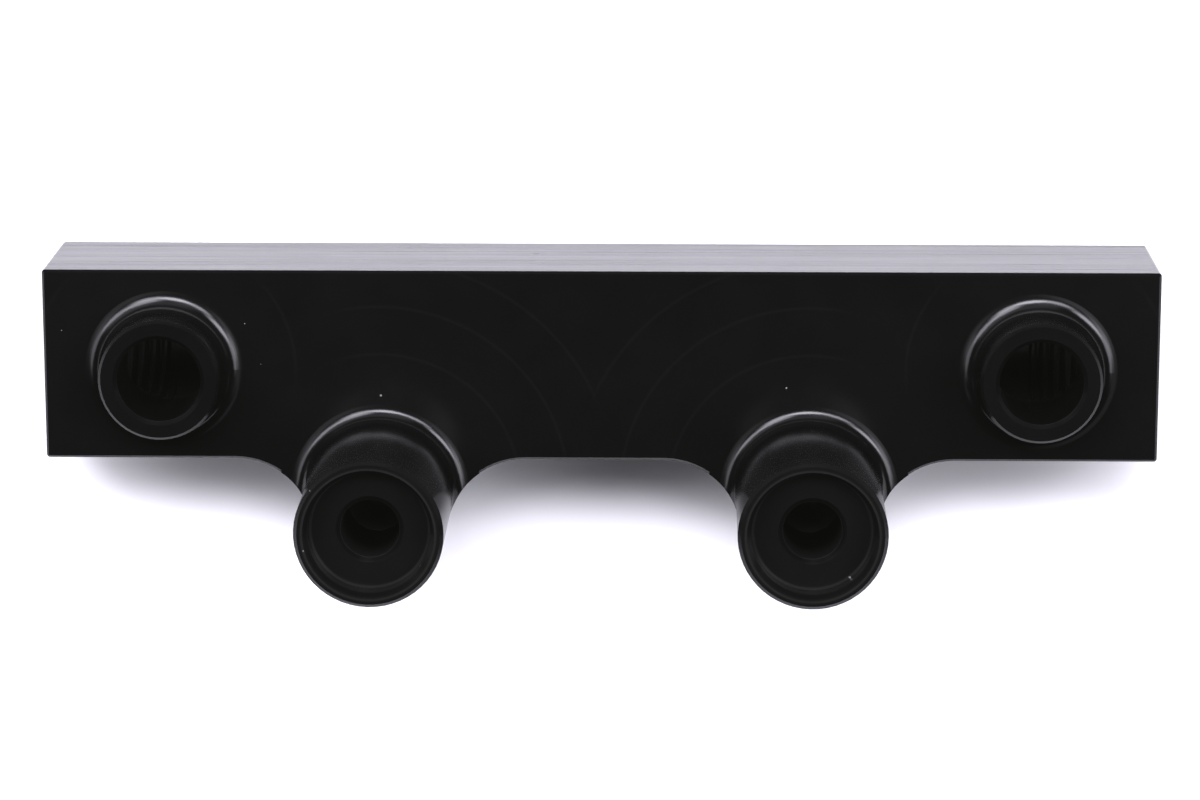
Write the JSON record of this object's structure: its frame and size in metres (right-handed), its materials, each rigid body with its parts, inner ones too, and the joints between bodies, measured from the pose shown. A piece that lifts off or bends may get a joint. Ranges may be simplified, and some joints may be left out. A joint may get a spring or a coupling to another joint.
{
  "type": "fuel rail",
  "caption": "Black anodised machined bar with two offset injector cups and two bored bosses on its front face and a threaded port in each end, fed by an internal gallery.",
  "frame": {"origin": "centre of the bar's plain back face", "axes": "+X along the bar; +Z out of the front face, along the bosses and cups; +Y away from the side that carries the two injector cups"},
  "size_m": [0.145, 0.0389, 0.0428],
  "materials": {
    "black_anodised": "satin"
  },
  "bodies": {
    "root": {"rail_body": "black_anodised"}
  },
  "joints": []
}
